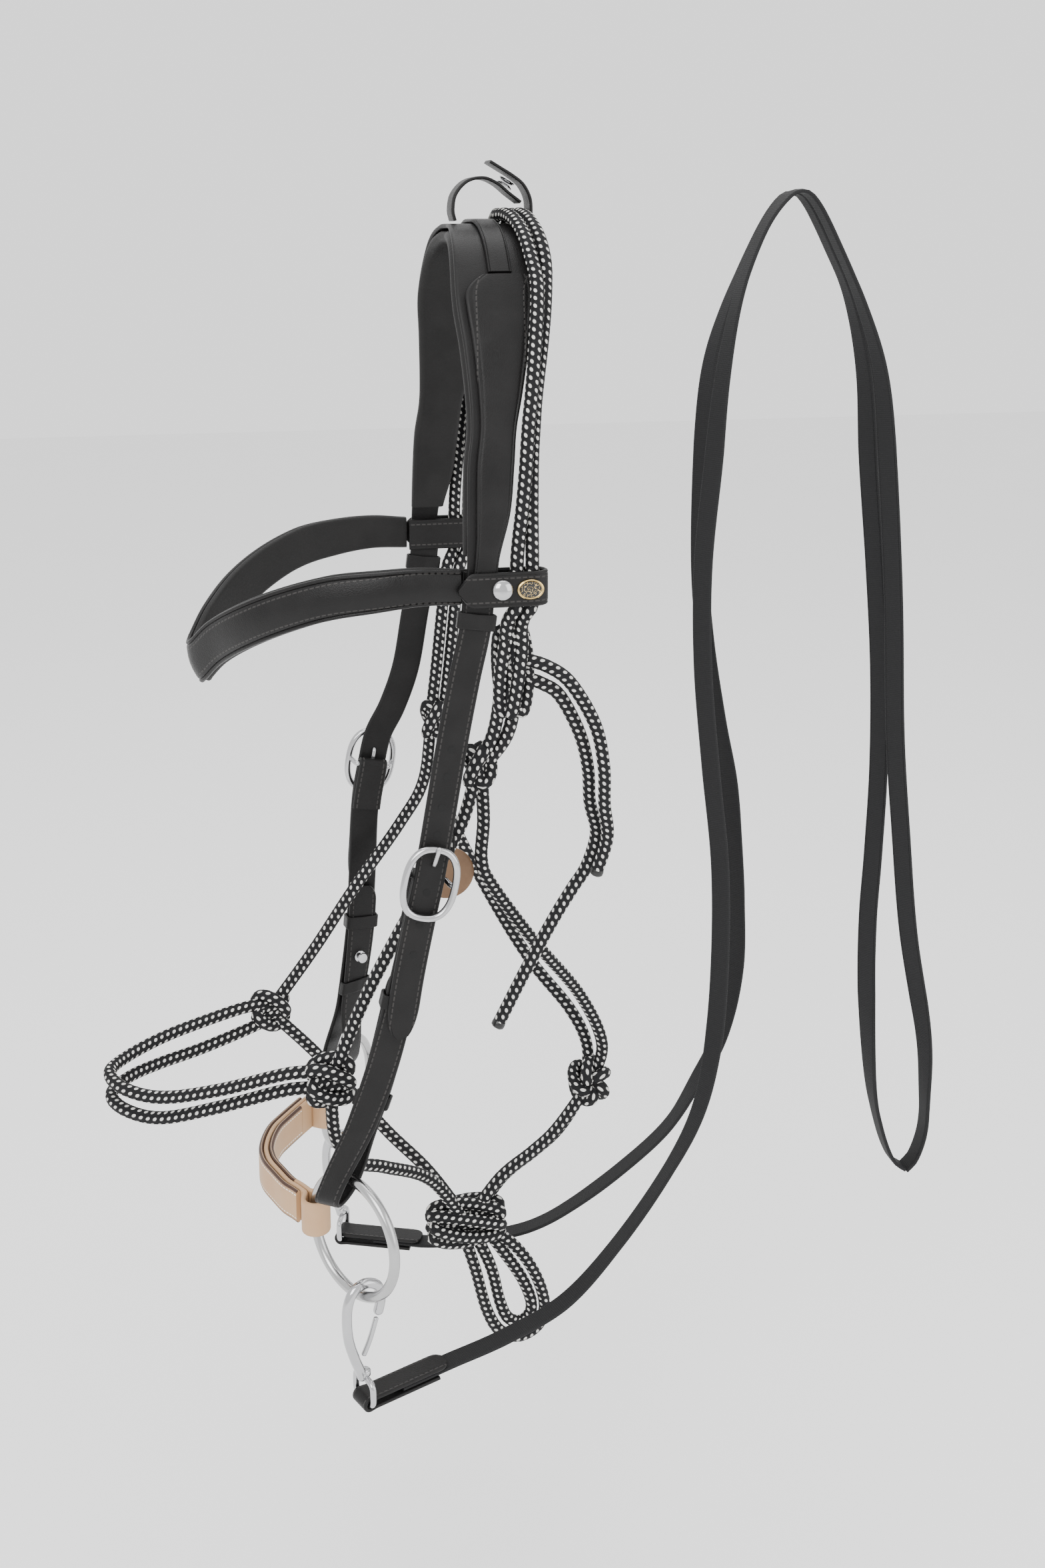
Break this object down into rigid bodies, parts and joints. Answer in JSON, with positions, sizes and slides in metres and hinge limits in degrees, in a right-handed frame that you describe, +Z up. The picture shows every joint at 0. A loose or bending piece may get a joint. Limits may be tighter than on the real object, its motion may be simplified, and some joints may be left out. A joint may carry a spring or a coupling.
{
  "type": "rope halter",
  "caption": "Leather sidepull bridle joined with a knotted rope halter: padded headpiece, browband, tan noseband on steel rings, and webbing reins on trigger snaps.",
  "frame": {"origin": "middle of the flat seat under the headpiece, where it rests on the poll", "axes": "+Z up, the horse faces -X, its near (left) side is -Y"},
  "size_m": [0.5214, 0.2388, 0.7356],
  "materials": {
    "browband_badge": "black enamel in a brass rim",
    "browband_face": "smooth black leather, raised stitched edges",
    "browband_lining": "soft black leather over padding",
    "browband_stud_far": "chrome plated",
    "browband_stud_near": "chrome plated",
    "browband_tab_far": "smooth black leather, raised stitched edges",
    "browband_tab_near": "smooth black leather, raised stitched edges",
    "buckle_frame_far": "chrome plated",
    "buckle_frame_near": "chrome plated",
    "buckle_tongue_far": "chrome plated",
    "buckle_tongue_near": "chrome plated",
    "cheek_billet_far": "smooth black leather, raised stitched edges",
    "cheek_billet_near": "smooth black leather, raised stitched edges",
    "cheek_strap_far": "smooth black leather, raised stitched edges",
    "cheek_strap_near": "smooth black leather, raised stitched edges",
    "headpiece_keeper_far": "smooth black leather, raised stitched edges",
    "headpiece_keeper_near": "smooth black leather, raised stitched edges",
    "headpiece_leather": "smooth black leather, raised stitched edges",
    "headpiece_overlay_far": "smooth black leather, raised stitched edges",
    "headpiece_overlay_near": "smooth black leather, raised stitched edges",
    "headpiece_padding": "soft black leather over padding",
    "keeper_strap_front": "smooth black leather, raised stitched edges",
    "keeper_strap_rear": "smooth black leather, raised stitched edges",
    "knot_cheek_far": "braided polyester cord, black with white flecks",
    "knot_cheek_near": "braided polyester cord, black with white flecks",
    "knot_fiador": "braided polyester cord, black with white flecks",
    "knot_nose_far": "braided polyester cord, black with white flecks",
    "knot_nose_near": "braided polyester cord, black with white flecks",
    "knot_throat": "braided polyester cord, black with white flecks",
    "knot_tie": "braided polyester cord, black with white flecks",
    "leather_tag": "plain brown leather",
    "noseband_lining": "natural tan leather with burnished brown edge",
    "noseband_panel": "natural tan leather with burnished brown edge",
    "noseband_strap": "natural tan leather with burnished brown edge",
    "poll_strap": "smooth black leather, raised stitched edges",
    "press_stud": "chrome plated",
    "rein_end_far": "smooth black leather, stitched",
    "rein_end_near": "smooth black leather, stitched",
    "rein_far": "ribbed black webbing",
    "rein_near": "ribbed black webbing",
    "ring_far": "polished steel",
    "ring_near": "polished steel",
    "rope_cheek_far": "braided polyester cord, black with white flecks",
    "rope_cheek_near": "braided polyester cord, black with white flecks",
    "rope_chin_far": "braided polyester cord, black with white flecks",
    "rope_chin_near": "braided polyester cord, black with white flecks",
    "rope_crown_front": "braided polyester cord, black with white flecks",
    "rope_crown_rear": "braided polyester cord, black with white flecks",
    "rope_fiador_far": "braided polyester cord, black with white flecks",
    "rope_fiador_near": "braided polyester cord, black with white flecks",
    "rope_nose_lower": "braided polyester cord, black with white flecks",
    "rope_nose_upper": "braided polyester cord, black with white flecks",
    "rope_tail_long": "braided polyester cord, black with white flecks",
    "rope_tail_short": "braided polyester cord, black with white flecks",
    "rope_throat_far": "braided polyester cord, black with white flecks",
    "rope_throat_near": "braided polyester cord, black with white flecks",
    "snap_body_far": "chrome plated",
    "snap_body_near": "chrome plated",
    "snap_gate_far": "chrome plated",
    "snap_gate_near": "chrome plated"
  },
  "bodies": {
    "bridle": {"browband_badge": "browband_badge", "browband_face": "browband_face", "browband_lining": "browband_lining", "browband_stud_far": "browband_stud_far", "browband_stud_near": "browband_stud_near", "browband_tab_far": "browband_tab_far", "browband_tab_near": "browband_tab_near", "buckle_frame_far": "buckle_frame_far", "buckle_frame_near": "buckle_frame_near", "cheek_billet_far": "cheek_billet_far", "cheek_billet_near": "cheek_billet_near", "cheek_strap_far": "cheek_strap_far", "cheek_strap_near": "cheek_strap_near", "headpiece_keeper_far": "headpiece_keeper_far", "headpiece_keeper_near": "headpiece_keeper_near", "headpiece_leather": "headpiece_leather", "headpiece_overlay_far": "headpiece_overlay_far", "headpiece_overlay_near": "headpiece_overlay_near", "headpiece_padding": "headpiece_padding", "keeper_strap_front": "keeper_strap_front", "knot_cheek_far": "knot_cheek_far", "knot_cheek_near": "knot_cheek_near", "knot_fiador": "knot_fiador", "knot_nose_far": "knot_nose_far", "knot_nose_near": "knot_nose_near", "knot_throat": "knot_throat", "knot_tie": "knot_tie", "noseband_lining": "noseband_lining", "noseband_panel": "noseband_panel", "noseband_strap": "noseband_strap", "poll_strap": "poll_strap", "rein_far": "rein_far", "rein_near": "rein_near", "rope_cheek_far": "rope_cheek_far", "rope_cheek_near": "rope_cheek_near", "rope_chin_far": "rope_chin_far", "rope_chin_near": "rope_chin_near", "rope_crown_front": "rope_crown_front", "rope_crown_rear": "rope_crown_rear", "rope_fiador_far": "rope_fiador_far", "rope_fiador_near": "rope_fiador_near", "rope_nose_lower": "rope_nose_lower", "rope_nose_upper": "rope_nose_upper", "rope_tail_long": "rope_tail_long", "rope_tail_short": "rope_tail_short", "rope_throat_far": "rope_throat_far", "rope_throat_near": "rope_throat_near"},
    "ring_near": {"ring_near": "ring_near"},
    "ring_far": {"ring_far": "ring_far"},
    "tongue_near": {"buckle_tongue_near": "buckle_tongue_near"},
    "tongue_far": {"buckle_tongue_far": "buckle_tongue_far"},
    "snap_near": {"snap_body_near": "snap_body_near", "rein_end_near": "rein_end_near"},
    "snap_far": {"snap_body_far": "snap_body_far", "rein_end_far": "rein_end_far"},
    "gate_near": {"snap_gate_near": "snap_gate_near"},
    "gate_far": {"snap_gate_far": "snap_gate_far"},
    "keeper_flap": {"keeper_strap_rear": "keeper_strap_rear", "press_stud": "press_stud"},
    "tag": {"leather_tag": "leather_tag"}
  },
  "joints": [
    {"name": "ring_near_turn", "type": "hinge", "parent": "bridle", "child": "ring_near", "pos_m": [-0.0985, -0.091, -0.545], "axis": [-0.8387, -0.5446, 0], "continuous": true},
    {"name": "tongue_near_lift", "type": "hinge", "parent": "bridle", "child": "tongue_near", "pos_m": [-0.054, -0.0833, -0.341], "axis": [0.976, 0, -0.2178], "range_deg": [0, 0.5]},
    {"name": "snap_near_swing", "type": "hinge", "parent": "bridle", "child": "snap_near", "pos_m": [-0.09465, -0.09693, -0.57826], "axis": [0.3843, -0.9232, 0], "range_deg": [-10, 10], "deforming": ["rein_near"]},
    {"name": "gate_near_open", "type": "hinge", "parent": "snap_near", "child": "gate_near", "pos_m": [-0.0952, -0.09716, -0.61526], "axis": [-0.3843, 0.9232, 0], "range_deg": [0, 20], "stiffness_Nm_per_rad": 0.02},
    {"name": "ring_far_turn", "type": "hinge", "parent": "bridle", "child": "ring_far", "pos_m": [-0.079, 0.085, -0.55], "axis": [-0.8387, 0.5446, 0], "continuous": true},
    {"name": "tongue_far_lift", "type": "hinge", "parent": "bridle", "child": "tongue_far", "pos_m": [-0.06, 0.0793, -0.327], "axis": [-0.9857, 0, 0.1688], "range_deg": [0, 0.5]},
    {"name": "snap_far_swing", "type": "hinge", "parent": "bridle", "child": "snap_far", "pos_m": [-0.08472, 0.07619, -0.58234], "axis": [0.3843, 0.9232, 0], "range_deg": [-10, 10], "deforming": ["rein_far"]},
    {"name": "gate_far_open", "type": "hinge", "parent": "snap_far", "child": "gate_far", "pos_m": [-0.08527, 0.07642, -0.61934], "axis": [-0.3843, -0.9232, 0], "range_deg": [0, 20], "stiffness_Nm_per_rad": 0.02},
    {"name": "keeper_flap_open", "type": "hinge", "parent": "bridle", "child": "keeper_flap", "pos_m": [0.0222, 0, 0.0118], "axis": [0, 1, 0], "range_deg": [0, 60]},
    {"name": "tag_swing", "type": "hinge", "parent": "bridle", "child": "tag", "pos_m": [-0.0365, -0.0525, -0.339], "axis": [1, 0, 0], "range_deg": [-8, 8]}
  ]
}
